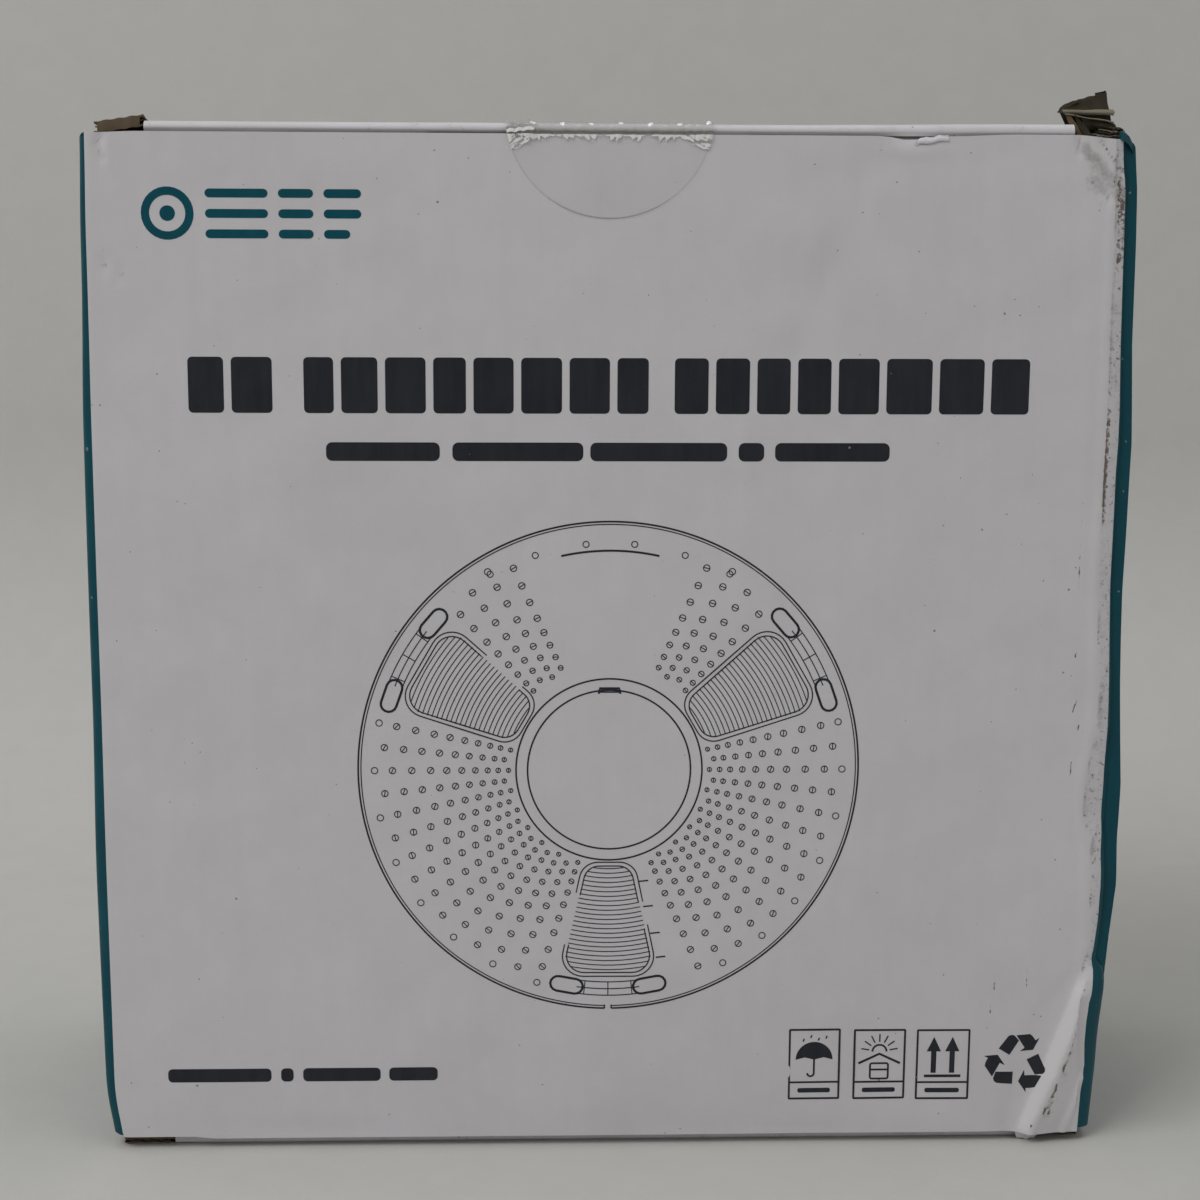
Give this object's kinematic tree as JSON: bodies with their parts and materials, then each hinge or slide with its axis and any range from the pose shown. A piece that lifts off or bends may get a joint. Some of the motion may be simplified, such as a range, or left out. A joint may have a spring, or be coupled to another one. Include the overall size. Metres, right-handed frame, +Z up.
{
  "type": "filament carton",
  "caption": "Upright corrugated tuck-end carton with hinged lids, tuck flaps, dust flaps and a clear round seal, holding a bagged twist-lock spool of filament.",
  "frame": {"origin": "centre of the carton's base, on the surface that it stands on", "axes": "+Z up, +Y from the printed front panel to the back panel, +X to the right as seen from the front"},
  "size_m": [0.207, 0.0762, 0.2199],
  "materials": {
    "coated_board": "white printed liner on corrugated board, satin, worn and faintly stained",
    "teal_board": "teal printed liner on corrugated board, satin",
    "kraft_board": "unprinted kraft liner, matte",
    "clear_film": "thin clear plastic film, glossy, wrinkled",
    "spool_plastic": "moulded plastic, satin black",
    "filament": "extruded thermoplastic strand, glossy, wound in ridges",
    "sachet_paper": "white crimped paper pouch, matte"
  },
  "bodies": {
    "carton": {"front_panel": "coated_board", "back_panel": "coated_board", "left_panel": "teal_board", "right_panel": "teal_board", "glue_flap": "kraft_board", "spool_rear_half": "spool_plastic", "filament_winding": "filament", "filament_tail": "filament", "desiccant_sachet": "sachet_paper", "bag_front_film": "clear_film", "bag_rear_film": "clear_film"},
    "top_lid": {"top_lid": "coated_board", "top_seal_upper": "clear_film"},
    "top_tuck": {"top_tuck": "coated_board", "top_seal_lower": "clear_film"},
    "top_dust_left": {"top_dust_left": "teal_board"},
    "top_dust_right": {"top_dust_right": "teal_board"},
    "bottom_lid": {"bottom_lid": "coated_board"},
    "bottom_tuck": {"bottom_tuck": "coated_board"},
    "bottom_dust_left": {"bottom_dust_left": "teal_board"},
    "bottom_dust_right": {"bottom_dust_right": "teal_board"},
    "spool_front": {"spool_front_half": "spool_plastic"}
  },
  "joints": [
    {"name": "top_lid_fold", "type": "hinge", "parent": "carton", "child": "top_lid", "pos_m": [0, 0.0371, 0.2091], "axis": [-1, 0, 0], "range_deg": [0, 180]},
    {"name": "top_tuck_fold", "type": "hinge", "parent": "top_lid", "child": "top_tuck", "pos_m": [0, -0.0351, 0.2091], "axis": [-1, 0, 0], "range_deg": [0, 81]},
    {"name": "top_dust_left_fold", "type": "hinge", "parent": "carton", "child": "top_dust_left", "pos_m": [-0.1026, 0, 0.2072], "axis": [0, -1, 0], "range_deg": [0, 90]},
    {"name": "top_dust_right_fold", "type": "hinge", "parent": "carton", "child": "top_dust_right", "pos_m": [0.1026, 0, 0.2072], "axis": [0, 1, 0], "range_deg": [0, 90]},
    {"name": "bottom_lid_fold", "type": "hinge", "parent": "carton", "child": "bottom_lid", "pos_m": [0, 0.0371, 0.0009], "axis": [1, 0, 0], "range_deg": [0, 180]},
    {"name": "bottom_tuck_fold", "type": "hinge", "parent": "bottom_lid", "child": "bottom_tuck", "pos_m": [0, -0.0351, 0.0009], "axis": [1, 0, 0], "range_deg": [0, 81]},
    {"name": "bottom_dust_left_fold", "type": "hinge", "parent": "carton", "child": "bottom_dust_left", "pos_m": [-0.1026, 0, 0.0028], "axis": [0, 1, 0], "range_deg": [0, 90]},
    {"name": "bottom_dust_right_fold", "type": "hinge", "parent": "carton", "child": "bottom_dust_right", "pos_m": [0.1026, 0, 0.0028], "axis": [0, -1, 0], "range_deg": [0, 90]},
    {"name": "spool_twist_lock", "type": "hinge", "parent": "carton", "child": "spool_front", "pos_m": [0, 0.0016, 0.1035], "axis": [0, -1, 0], "range_deg": [0, 20]}
  ],
  "couplings": [
    {"joint": "top_tuck_fold", "follows": "top_lid_fold", "ratio": 0.45},
    {"joint": "top_dust_left_fold", "follows": "top_lid_fold", "ratio": 0.5},
    {"joint": "top_dust_right_fold", "follows": "top_lid_fold", "ratio": 0.5},
    {"joint": "bottom_tuck_fold", "follows": "bottom_lid_fold", "ratio": 0.45},
    {"joint": "bottom_dust_left_fold", "follows": "bottom_lid_fold", "ratio": 0.5},
    {"joint": "bottom_dust_right_fold", "follows": "bottom_lid_fold", "ratio": 0.5}
  ]
}
